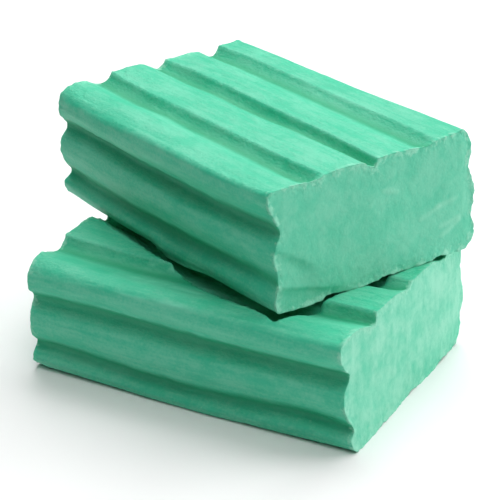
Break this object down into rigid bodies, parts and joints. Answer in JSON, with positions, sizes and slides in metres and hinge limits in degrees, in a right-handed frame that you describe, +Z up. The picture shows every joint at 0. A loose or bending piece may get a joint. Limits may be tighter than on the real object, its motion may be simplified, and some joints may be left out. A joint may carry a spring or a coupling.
{
  "type": "ribbed floral brick pair",
  "caption": "Pair of ribbed green putty floral bricks with cut ends, one resting loosely across the other, for holding stems.",
  "frame": {"origin": "under the middle of the pair's footprint, at the height it stands on", "axes": "+X along the lower brick's ribs towards its cut end, +Y across them towards the side that the upper brick overhangs, +Z up"},
  "size_m": [0.1334, 0.118, 0.0743],
  "materials": {
    "green_putty": "matt, slightly waxy putty with drag lines and torn cut edges"
  },
  "bodies": {
    "lower_brick": {"lower_brick": "green_putty"},
    "upper_brick": {"upper_brick": "green_putty"}
  },
  "joints": [
    {"name": "upper_lift", "type": "slide", "parent": "lower_brick", "child": "upper_brick", "axis": [0, 0, 1], "range_m": [0, 0.08]}
  ]
}
